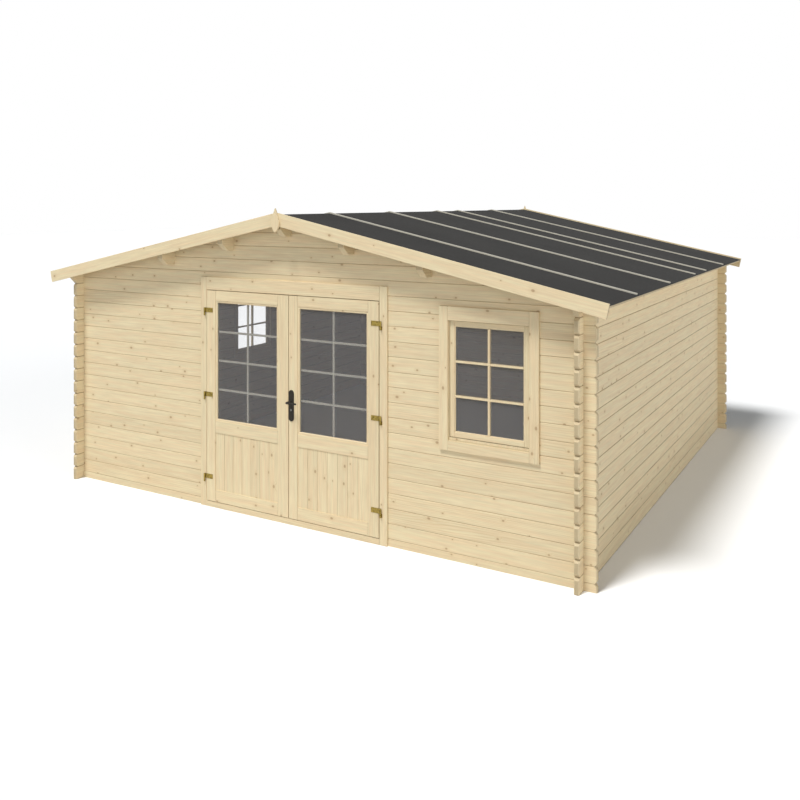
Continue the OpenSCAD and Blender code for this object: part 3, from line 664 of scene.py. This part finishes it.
def middlesOf(node, axis):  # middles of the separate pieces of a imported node, along one axis
    edges = sorted({round(v.co[axis], 4) for v in nodes[node].data.vertices})
    return [(start + stop) / 2 for start, stop in zip(edges[::2], edges[1::2])]


boardRow, barGrid, heads = rowTree(), gridTree(), headTree()
print("node trees built")


# roof boards

roofBoards = {"width": 0.096, "gap": 0.0015, "thickness": 0.019, "soft": 0.0015, "seed": 3}
boardLow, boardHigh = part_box("roof_boards_right")
roofDepth = boardHigh.y - boardLow.y
boardCount = round(roofDepth / roofBoards["width"])
boardPitch = roofDepth / boardCount
eaveX = boardHigh.x - roofBoards["thickness"] * math.sin(pitch)
ridgeZ = boardHigh.z - roofBoards["thickness"] / math.cos(pitch)
slopeLength = eaveX / math.cos(pitch)
for side, sign in (("left", -1), ("right", 1)):
    firstBoard = (sign * slopeLength / 2, boardLow.y + boardPitch / 2, roofBoards["thickness"] / 2)
    place = (Matrix.Translation((0, 0, ridgeZ)) @ Matrix.Rotation(sign * pitch, 4, "Y")
             @ Matrix.Translation(firstBoard))
    boards = grow("roofBoards." + side, boardRow,
                  {"Count": boardCount, "Pitch": boardPitch, "Gap": roofBoards["gap"],
                   "Length": slopeLength, "Thickness": roofBoards["thickness"],
                   "Seed": roofBoards["seed"] + sign, "Material": roofBoardSpruce},
                  place=place, soft=roofBoards["soft"])
    settle(boards, "shed", "board_spruce", "roof_boards_" + side)
print("roof boards:", boardCount, "on each slope")


# nails through the felt battens

nails = {"spacing": 0.24, "radius": 0.0045, "rise": 0.002, "sink": 0.0003, "fromRidge": 0.04,
         "fromEave": 0.05}
for side, sign in (("left", -1), ("right", 1)):
    low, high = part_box("felt_battens_" + side)
    topZ = high.z - nails["sink"]
    first, last = nails["fromRidge"], max(abs(low.x), abs(high.x)) - nails["fromEave"]
    count = int(last / nails["spacing"])
    downSlope = [first + i * (last - first) / count for i in range(count + 1)]
    places = [(sign * x, y, topZ - x * math.tan(pitch))
              for y in middlesOf("felt_battens_" + side, 1) for x in downSlope]
    piece = grow("battenNails." + side, heads,
                 {"Radius": nails["radius"], "Rise": nails["rise"], "Facing": (0, sign * pitch, 0),
                  "Material": steel}, places)
    settle(piece, "shed", "black_metal")
print("batten nails set")


# door leaves: stiles, rails, glazing beads and bars

leafBuild = {
    "soft": 0.0025,
    "seam": 0.0012,  # between stiles and rails
    "railSet": 0.0005,  # rails lie this far inside the stiles, front and back
    "lip": 0.0012,  # thin strip on the meeting edge
    "lipSeat": 0.0006,
    "lipDepth": 0.012,
    "lipSoft": 0.0005,
    "bead": 0.020,
    "beadFlat": 0.7,  # share of the bead before its edge slants
    "beadSlant": 0.006,
    "beadSet": 0.005,
    "bar": 0.018,
    "barDepth": 0.012,
    "barGap": 0.0003,  # between the bars and the glass
    "barSoft": 0.0015,
    "columns": 2,
    "rows": 4,
}


def dressLeaf(side, inward):  # inward is the way to the other leaf, along X
    size = leafBuild
    low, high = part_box(side + "_leaf_frame")
    paneLow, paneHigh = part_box(side + "_leaf_glass")
    panelLow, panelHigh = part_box(side + "_leaf_panel")
    groove, bead = panelBuild["groove"], size["bead"]
    leftX, rightX = panelLow.x + groove, panelHigh.x - groove
    panelZ, panelTopZ = panelLow.z + groove, panelHigh.z - groove
    paneZ, paneTopZ = paneLow.z + groove - bead, paneHigh.z - groove + bead
    bm = newBoards()
    for x0, x1 in ((low.x, leftX), (rightX, high.x)):
        addBoard(bm, (x0, low.y, low.z), (x1, high.y, high.z), size["soft"], 0)
    railLeft, railRight = leftX + size["seam"], rightX - size["seam"]
    railFront, railBack = low.y + size["railSet"], high.y - size["railSet"]
    for z0, z1 in ((low.z, panelZ), (panelTopZ, paneZ), (paneTopZ, high.z)):
        addBoard(bm, (railLeft, railFront, z0), (railRight, railBack, z1), size["soft"], 1)
    meetX = high.x if inward > 0 else low.x
    lipLeft, lipRight = sorted((meetX - inward * size["lipSeat"], meetX + inward * size["lip"]))
    lipFront, lipBack = low.y + size["lipSeat"], low.y + size["lipDepth"]
    addBoard(bm, (lipLeft, lipFront, low.z), (lipRight, lipBack, high.z), size["lipSoft"], 0)
    frontBead = beadProfile(size, low.y + size["beadSet"], paneLow.y)
    backBead = beadProfile(size, high.y - size["beadSet"], paneHigh.y)
    addMitredRing(bm, leftX, rightX, paneZ, paneTopZ, frontBead, 0, 1)
    # the back beads behind the glass take the dark wood of painted shade
    addMitredRing(bm, leftX, rightX, paneZ, paneTopZ, backBead, 2, 2)
    leaf = meshObject(side + "LeafFrame", bm, uprightSpruce, lyingSpruce, shadedBarWood)
    settle(leaf, side + "_leaf", "planed_spruce", side + "_leaf_frame")

    barY = paneHigh.y + size["barDepth"] / 2 + size["barGap"]
    middle = Matrix.Translation(((leftX + rightX) / 2, barY, (paneZ + paneTopZ) / 2))
    # bars behind the glass in the dark wood of painted shade
    bars = grow(side + "LeafBars", barGrid,
                {"Width": rightX - leftX - 2 * bead, "Height": paneTopZ - paneZ - 2 * bead,
                 "Columns": size["columns"], "Rows": size["rows"], "Bar": size["bar"],
                 "Depth": size["barDepth"], "Material": shadedBarWood},
                place=middle, soft=size["barSoft"])
    settle(bars, side + "_leaf", "planed_spruce")


dressLeaf("left", 1)
dressLeaf("right", -1)
print("door leaves joined from stiles, rails and beads")


# hinge and handle screws, lock cylinder

screws = {
    "radius": 0.0042,
    "rise": 0.0014,
    "hingeInset": (0.014, 0.045),  # a pair and a single one, from the end of the hinge
    "hingeSpread": 0.011,
    "hingeFace": 0.003,  # face of the hinge in front of the leaf
    "plateInset": 0.016,
}
turnFront, turnBack = (math.pi / 2, 0, 0), (-math.pi / 2, 0, 0)


def addScrews(name, body, slotName, mat, facing, places):
    wants = {"Radius": screws["radius"], "Rise": screws["rise"], "Facing": facing, "Material": mat}
    settle(grow(name, heads, wants, places), body, slotName)


pairInset, singleInset = screws["hingeInset"]
spots = ((pairInset, screws["hingeSpread"]), (pairInset, -screws["hingeSpread"]), (singleInset, 0.0))
for side, sign in (("left", -1), ("right", 1)):
    hingeLow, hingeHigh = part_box(side + "_leaf_hinges")
    endX = hingeHigh.x if side == "left" else hingeLow.x
    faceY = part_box(side + "_leaf_frame")[0].y - screws["hingeFace"]
    places = [(endX + sign * inset, faceY, z + up)
              for z in middlesOf(side + "_leaf_hinges", 2) for inset, up in spots]
    addScrews(side + "HingeScrews", side + "_leaf", "brass", brass, turnFront, places)
    print(side, "hinge screws:", len(places))

plateLow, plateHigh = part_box("handle_plates")
plateX = (plateLow.x + plateHigh.x) / 2
screwHeights = (plateLow.z + screws["plateInset"], plateHigh.z - screws["plateInset"])
for name, y, facing in (("plateScrewsFront", plateLow.y, turnFront),
                        ("plateScrewsBack", plateHigh.y, turnBack)):
    addScrews(name, "right_leaf", "black_metal", iron, facing, [(plateX, y, z) for z in screwHeights])

lock = {
    "spindleUp": 0.035,  # spindle above the middle of the plate
    "drop": 0.072,  # lock below the spindle
    "radius": 0.0085,
    "stands": 0.003,
    # points of the rim, as shares of the radius and of how far the lock stands out
    "rim": ((1.0, 0.0), (1.0, 0.6), (0.93, 0.9), (0.82, 1.0), (0.74, 1.0), (0.70, 0.8)),
    "corners": 32,
    "slot": (0.0016, 0.0085),
    "slotPlace": (0.7, 0.3),  # its middle and its depth, as shares too
}
lockZ = (plateLow.z + plateHigh.z) / 2 + lock["spindleUp"] - lock["drop"]


def lockCylinder():  # turned ring with a rounded rim, and a dark block of painted shade for the key slot, on both faces
    bm = bmesh.new()
    stands, count = lock["stands"], lock["corners"]
    wide, tall = lock["slot"]
    slotMiddle, slotDepth = (share * stands for share in lock["slotPlace"])
    turns = [(math.cos(i * math.tau / count), math.sin(i * math.tau / count)) for i in range(count)]
    for faceY, way in ((plateLow.y, -1), (plateHigh.y, 1)):
        loops = []
        for across, outward in lock["rim"]:
            radius, y = lock["radius"] * across, faceY + way * stands * outward
            loops.append([bm.verts.new((plateX + radius * x, y, lockZ + radius * z)) for x, z in turns])
        faces = [bm.faces.new((one[i - 1], one[i], two[i], two[i - 1]))
                 for one, two in zip(loops, loops[1:]) for i in range(count)]
        faces += [bm.faces.new(loops[-1]), bm.faces.new(loops[0][::-1])]
        bmesh.ops.recalc_face_normals(bm, faces=faces)
        # the key slot: a dark block of painted shade
        for v in bmesh.ops.create_cube(bm, size=1.0)["verts"]:
            y = faceY + way * (slotMiddle + v.co.y * slotDepth)
            v.co = (plateX + v.co.x * wide, y, lockZ + v.co.z * tall)
            for face in v.link_faces:
                face.material_index = 1
    settle(meshObject("lockCylinder", bm, steel, iron), "right_leaf", "black_metal")


lockCylinder()
print("screws and lock cylinder set")


# windows: trims, sashes, beads and bars, in a frame of their own with the wall face at y = 0

windowBuild = {
    "height": 0.968,  # of the opening
    "trimInner": 0.3315,
    "trimOuter": 0.4065,
    "trimLap": 0.072,  # trim above the opening
    "trimFoot": (-0.064, 0.012),  # bottom and top of the lower trim
    "topTrim": 0.107,
    "trimDepth": 0.020,
    "trimJoint": 0.0004,
    "sashOuter": 0.322,
    "sashInner": 0.277,
    "sashEdge": 0.0395,
    "sashFront": 0.004,
    "sashBack": 0.036,
    "seam": 0.0003,  # between stiles and rails
    "soft": 0.002,
    "bead": 0.008,
    "beadFlat": 0.6,
    "beadSlant": 0.003,
    "beadSet": 0.004,
    "pane": (0.017, 0.023),  # front and back of the glass
    "bar": 0.017,
    "barThinner": 0.004,  # than the sash
    "barSoft": 0.002,
    "columns": 2,
    "rows": 3,
}


def dressWindow(name, place, upright, lying):
    size = windowBuild
    bm = newBoards()
    topZ, frontY = size["height"] + size["trimLap"], -size["trimDepth"]
    footZ, sillZ = size["trimFoot"]
    for way in (-1, 1):
        x0, x1 = sorted((way * size["trimInner"], way * size["trimOuter"]))
        addBoard(bm, (x0, frontY, footZ), (x1, 0, topZ), size["soft"], 0)
    inner = size["trimInner"] - size["trimJoint"]
    for z0, z1 in ((topZ - size["topTrim"], topZ), (footZ, sillZ)):
        addBoard(bm, (-inner, frontY, z0), (inner, 0, z1), size["soft"], 1)
    bm.transform(place)
    trim = meshObject(name + "Trim", bm, upright, lying)
    settle(trim, "shed", "planed_spruce", name + "_window_trim")

    bm = newBoards()
    paneX = size["sashInner"] + size["bead"]
    member = size["sashOuter"] - paneX
    lowZ, highZ = size["sashEdge"], size["height"] - size["sashEdge"]
    frontY, backY = size["sashFront"], size["sashBack"]
    for way in (-1, 1):
        x0, x1 = sorted((way * paneX, way * size["sashOuter"]))
        addBoard(bm, (x0, frontY, lowZ), (x1, backY, highZ), size["soft"], 0)
    railX = paneX - size["seam"]
    for z in (lowZ, highZ - member):
        addBoard(bm, (-railX, frontY, z), (railX, backY, z + member), size["soft"], 1)
    frontBead = beadProfile(size, frontY + size["beadSet"], size["pane"][0])
    backBead = beadProfile(size, backY - size["beadSet"], size["pane"][1])
    addMitredRing(bm, -paneX, paneX, lowZ + member, highZ - member, frontBead, 0, 1)
    # the back beads behind the glass take the dark wood of painted shade
    addMitredRing(bm, -paneX, paneX, lowZ + member, highZ - member, backBead, 2, 2)
    bm.transform(place)
    sash = meshObject(name + "Sash", bm, upright, lying, shadedBarWood)
    settle(sash, "shed", "planed_spruce", name + "_window_sash")

    middle = Matrix.Translation((0, (frontY + backY) / 2, size["height"] / 2))
    bars = grow(name + "WindowBars", barGrid,
                {"Width": 2 * size["sashInner"], "Height": highZ - lowZ - 2 * (member + size["bead"]),
                 "Columns": size["columns"], "Rows": size["rows"], "Bar": size["bar"],
                 "Depth": backY - frontY - size["barThinner"], "Material": upright},
                place=place @ middle, soft=size["barSoft"])
    settle(bars, "shed", "planed_spruce")


low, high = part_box("front_window_glass")
trimLow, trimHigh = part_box("front_window_trim")
footZ = trimLow.z - windowBuild["trimFoot"][0]
place = Matrix.Translation(((low.x + high.x) / 2, trimHigh.y, footZ))
dressWindow("front", place, uprightSpruce, lyingSpruce)
low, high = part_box("left_window_glass")
trimLow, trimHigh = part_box("left_window_trim")
footZ = trimLow.z - windowBuild["trimFoot"][0]
place = Matrix.Translation((trimHigh.x, (low.y + high.y) / 2, footZ)) @ Matrix.Rotation(-math.pi / 2, 4, "Z")
dressWindow("left", place, uprightSideSpruce, lyingSideSpruce)
print("windows dressed")


# stage

floorLook = {"size": 120.0, "below": 0.001, "seen": (1.0, 1.0, 1.0, 1), "bounce": (0.68, 0.68, 0.68, 1)}


def seenRays(tree):  # 1 for what the camera sees, straight or by way of a gloss or glass
    rays = tree.nodes.new("ShaderNodeLightPath").outputs
    byGlass = calc(tree, "MAXIMUM", rays["Is Glossy Ray"], rays["Is Transmission Ray"])
    return calc(tree, "MAXIMUM", rays["Is Camera Ray"], byGlass)


def paleFloor():
    mat, tree, bsdf = newMaterial("paleFloor")
    colour = blendColour(tree, seenRays(tree), floorLook["bounce"], floorLook["seen"])
    tree.links.new(colour, bsdf.inputs["Base Color"])
    bsdf.inputs["Roughness"].default_value = 1.0
    bsdf.inputs["Specular IOR Level"].default_value = 0.0
    half = floorLook["size"] / 2
    corners = [(-half, -half, 0), (half, -half, 0), (half, half, 0), (-half, half, 0)]
    mesh = bpy.data.meshes.new("floor")
    mesh.from_pydata(corners, [], [(0, 1, 2, 3)])
    mesh.materials.append(mat)
    floor = bpy.data.objects.new("floor", mesh)
    floor.location.z = -floorLook["below"]
    scene.collection.objects.link(floor)


# the way each lamp's light travels, its strength, and its spread in degrees
lampSetup = {
    "sun": ((0.17, 0.50, -1.0), 2.8, 15.0),
    "rightFill": ((-1.0, 0.15, -0.06), 1.8, 50.0),
    "frontFill": ((-0.15, 1.0, -0.10), 0.88, 50.0),
}
skyLook = {"strength": 0.14, "tint": (0.82, 0.92, 1.0, 1), "seen": (1, 1, 1, 1)}


def addSun(name, along, strength, angle):
    lamp = bpy.data.lights.new(name, "SUN")
    lamp.energy = strength
    lamp.angle = math.radians(angle)
    obj = bpy.data.objects.new(name, lamp)
    obj.rotation_euler = Vector(along).to_track_quat("-Z", "Y").to_euler()
    scene.collection.objects.link(obj)


def paleWorld():
    world = bpy.data.worlds.new("paleWorld")
    scene.world = world
    world.use_nodes = True
    tree = world.node_tree
    tree.nodes.clear()
    shown = seenRays(tree)
    sky = tree.nodes.new("ShaderNodeBackground")
    tree.links.new(blendColour(tree, shown, skyLook["tint"], skyLook["seen"]), sky.inputs["Color"])
    tree.links.new(remap(tree, shown, skyLook["strength"], 1.0), sky.inputs["Strength"])
    out = tree.nodes.new("ShaderNodeOutputWorld")
    tree.links.new(sky.outputs[0], out.inputs["Surface"])


cameraSetup = {"place": (4.5507, -8.5926, 2.7451), "turn": 29.934, "lens": 39.374, "shiftY": -0.24754,
               "far": 500.0}


def addCamera():
    lens = bpy.data.cameras.new("camera")
    lens.lens = cameraSetup["lens"]
    lens.shift_y = cameraSetup["shiftY"]
    lens.clip_end = cameraSetup["far"]
    camera = bpy.data.objects.new("camera", lens)
    camera.location = cameraSetup["place"]
    camera.rotation_euler = (math.pi / 2, 0, math.radians(cameraSetup["turn"]))
    scene.collection.objects.link(camera)
    scene.camera = camera


paleFloor()
for name, (along, strength, angle) in lampSetup.items():
    addSun(name, along, strength, angle)
paleWorld()
addCamera()
print("floor, lamps, world and camera placed")
